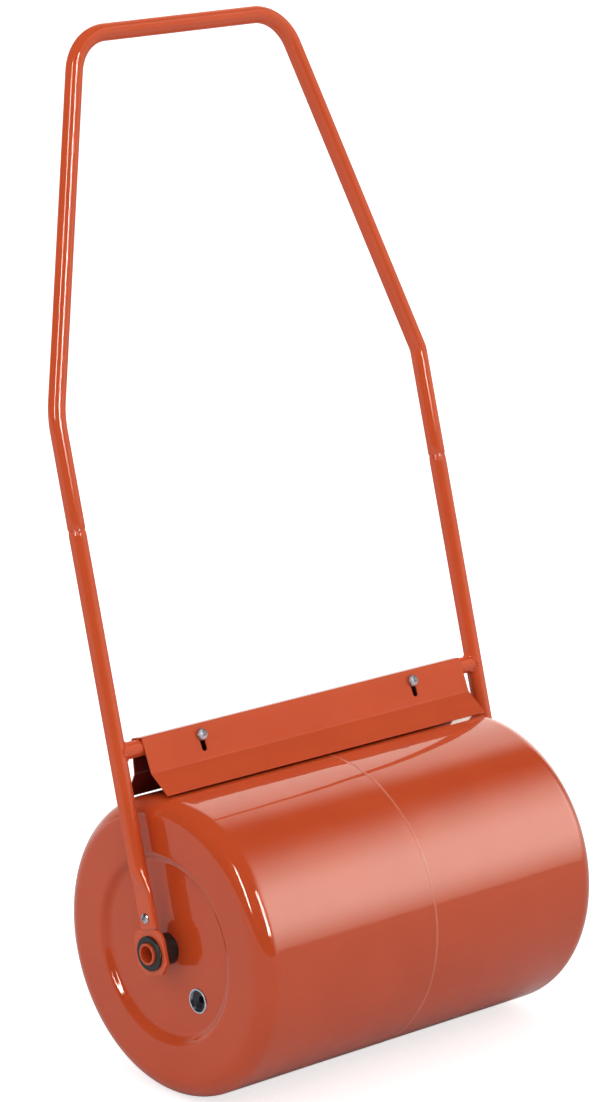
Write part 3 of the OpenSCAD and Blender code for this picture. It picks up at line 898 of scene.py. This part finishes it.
def make_camera():
    """Camera at the front left, a little above the object."""
    data = bpy.data.cameras.new("camera")
    data.lens = CAMERA_LENS
    data.clip_end = 60
    camera = bpy.data.objects.new("camera", data)
    bpy.context.scene.collection.objects.link(camera)
    back = direction(CAMERA_AZ, CAMERA_EL)
    camera.location = CAMERA_AIM + back * CAMERA_FAR
    camera.rotation_mode = "QUATERNION"
    camera.rotation_quaternion = (-back).to_track_quat("-Z", "Y")
    bpy.context.scene.camera = camera


def make_floor():
    """Plain pale floor under the drum. The camera sees it overlit, as in a white photo tent, and
    mirrored rays see it lit up behind the roller."""
    far = 30.0
    pale, pale_seen = (0.68, 0.68, 0.68), (0.60, 0.60, 0.60)
    glow_seen = 0.72
    glow_mirrored = 0.35
    behind_at, behind_soft = 1.4, 0.7
    verts = [Vector((a * far, b * far, FLOOR_Z)) for a, b in ((-1, -1), (1, -1), (1, 1), (-1, 1))]
    floor = add_mesh("floor", verts, [(0, 1, 2, 3)])
    s = Shader("pale_floor")
    rays = s.tree.nodes.new("ShaderNodeLightPath").outputs
    seen = rays["Is Camera Ray"]
    s.link(mix_colours(s.tree, seen, pale, pale_seen), "Base Color")
    behind = soft_edge(s.tree, along(s.tree, s.where, -direction(CAMERA_AZ, 0)), behind_at, behind_soft)
    mirrored = math_node(s.tree, "MULTIPLY", rays["Is Glossy Ray"], behind)
    backdrop = math_node(s.tree, "MULTIPLY", mirrored, glow_mirrored)
    s.link(math_node(s.tree, "MULTIPLY_ADD", seen, glow_seen, backdrop), "Emission Strength")
    s.set(Emission_Color=(1, 1, 1, 1), Roughness=0.8, Specular_IOR_Level=0.1)
    floor.data.materials.append(s.material)


def make_world():
    """Even fill for matt surfaces, soft boxes in a dim room for mirrored ones, and white for the camera."""
    world = bpy.data.worlds.new("studio")
    bpy.context.scene.world = world
    world.use_nodes = True
    tree = world.node_tree
    tree.nodes.clear()

    sky = tree.nodes.new("ShaderNodeTexCoord").outputs["Generated"]
    azimuth, elevation = azimuth_elevation(tree, sky)
    mirrored_light = REFLECTED_ROOM
    for box in SOFT_BOXES:
        mask = box_mask(tree, azimuth, elevation, box)
        mirrored_light = math_node(tree, "MULTIPLY_ADD", mask, box[5], mirrored_light)
    fill = soft_edge(tree, elevation, FILL_AT, FILL_SOFT, FILL_LOW, FILL_HIGH)
    facing = math_node(tree, "MAXIMUM", along(tree, sky, FRONT_LOBE), 0.0)
    fill = math_node(tree, "MULTIPLY_ADD", facing, FILL_FRONT, fill)
    rays = tree.nodes.new("ShaderNodeLightPath").outputs
    light = mix_numbers(tree, rays["Is Glossy Ray"], fill, mirrored_light)
    background = tree.nodes.new("ShaderNodeBackground")
    colour = mix_colours(tree, rays["Is Glossy Ray"], (1, 1, 1), MIRRORED_TINT)
    tree.links.new(colour, background.inputs["Color"])
    tree.links.new(mix_numbers(tree, rays["Is Camera Ray"], light, 1.0), background.inputs["Strength"])
    output = tree.nodes.new("ShaderNodeOutputWorld")
    tree.links.new(background.outputs[0], output.inputs[0])


# ---- Build ----

make_shell(-1, "drum_left_half", "drum_shell_left")
make_shell(1, "drum_right_half", "drum_shell_right")
make_seam()
make_axle()
make_leg(-1, "left_leg", "leg_left")
make_leg(1, "right_leg", "leg_right")
make_handle()
make_cross_welds()
make_scraper()
make_filler()

EDGE_WIDTHS = (
    (0.4 * MM, ("side_plate_left", "side_plate_right")),
    (0.2 * MM, ("bush_left", "bush_right", "spacer_left", "spacer_right", "scraper_washers", "plate_nuts")),
    (0.25 * MM, ("plate_screws", "scraper_bolts")),
)
for edge_width, cad_names in EDGE_WIDTHS:
    for cad_name in cad_names:
        soften(cad_name, edge_width)

for node_name, obj in nodes.items():
    if not obj.hide_render:
        obj.data.materials.clear()
        obj.data.materials.append(FINISHES[NODE_SLOT[node_name]])
nodes["scraper_bolts"].data.materials[0] = DULL_ZINC

make_floor()
make_world()
make_camera()
bpy.context.scene.view_settings.view_transform = "Standard"
